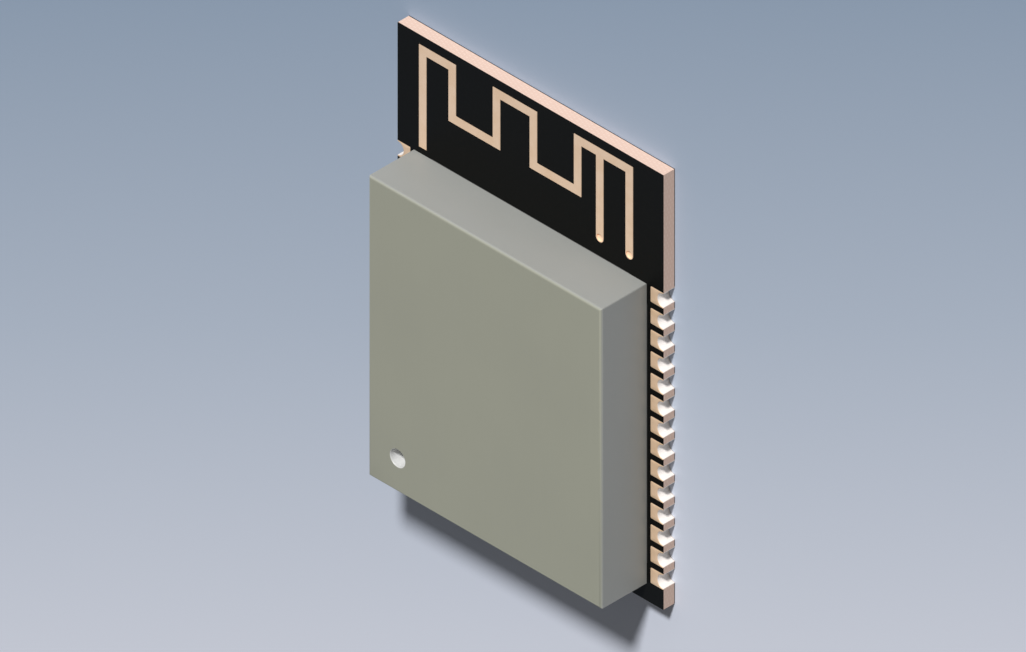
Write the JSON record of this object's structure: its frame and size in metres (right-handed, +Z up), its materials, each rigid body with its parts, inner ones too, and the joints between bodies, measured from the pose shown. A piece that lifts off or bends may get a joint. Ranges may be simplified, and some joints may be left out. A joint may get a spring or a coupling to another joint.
{
  "type": "wifi module",
  "caption": "Flat radio module: a board with solder pads along three edges, a meandered track antenna at one end and a folded metal can over its electronics.",
  "frame": {"origin": "centre of the underside, on which the module lies and is soldered", "axes": "+Z up through the lid of the can, +Y along the board towards the antenna, +X across the board"},
  "size_m": [0.018, 0.0254, 0.0039],
  "materials": {
    "laminate": "woven glass board, pale tan, matt at its cut edges",
    "solder_mask": "black solder mask, semi-gloss",
    "antenna_copper": "thin gold over copper, pale tan, satin",
    "pad_metal": "thin gold over copper, satin, bright in the half holes",
    "shield_sheet": "rolled nickel silver sheet, satin, faintly olive",
    "mould_compound": "black moulded epoxy, matt",
    "tinned_leads": "tin plate, satin",
    "crystal_ceramic": "grey alumina",
    "crystal_lid": "plated lid, satin",
    "capacitor_ceramic": "tan ceramic with tinned ends",
    "inductor_ceramic": "pale grey ceramic with tinned ends",
    "resistor_glaze": "black glaze with tinned ends"
  },
  "bodies": {
    "root": {"antenna_feed_via": "antenna_copper", "antenna_ground_via": "antenna_copper", "antenna_trace": "antenna_copper", "board_laminate": "laminate", "component_lands": "pad_metal", "crystal_base": "crystal_ceramic", "crystal_lid": "crystal_lid", "decoupling_capacitors": "capacitor_ceramic", "flash_chip_body": "mould_compound", "flash_chip_leads": "tinned_leads", "ground_pad": "pad_metal", "load_capacitors": "capacitor_ceramic", "matching_inductors": "inductor_ceramic", "pad_01": "pad_metal", "pad_02": "pad_metal", "pad_03": "pad_metal", "pad_04": "pad_metal", "pad_05": "pad_metal", "pad_06": "pad_metal", "pad_07": "pad_metal", "pad_08": "pad_metal", "pad_09": "pad_metal", "pad_10": "pad_metal", "pad_11": "pad_metal", "pad_12": "pad_metal", "pad_13": "pad_metal", "pad_14": "pad_metal", "pad_15": "pad_metal", "pad_16": "pad_metal", "pad_17": "pad_metal", "pad_18": "pad_metal", "pad_19": "pad_metal", "pad_20": "pad_metal", "pad_21": "pad_metal", "pad_22": "pad_metal", "pad_23": "pad_metal", "pad_24": "pad_metal", "pad_25": "pad_metal", "pad_26": "pad_metal", "pad_27": "pad_metal", "pad_28": "pad_metal", "pad_29": "pad_metal", "pad_30": "pad_metal", "pad_31": "pad_metal", "pad_32": "pad_metal", "pad_33": "pad_metal", "pad_34": "pad_metal", "pad_35": "pad_metal", "pad_36": "pad_metal", "pad_37": "pad_metal", "pad_38": "pad_metal", "pull_up_resistors": "resistor_glaze", "radio_chip_body": "mould_compound", "radio_chip_lands": "pad_metal", "radio_chip_leads": "tinned_leads", "shield_can": "shield_sheet", "shield_lands": "pad_metal", "solder_mask_top": "solder_mask", "solder_mask_underside": "solder_mask", "thermal_vias": "pad_metal"}
  },
  "joints": []
}
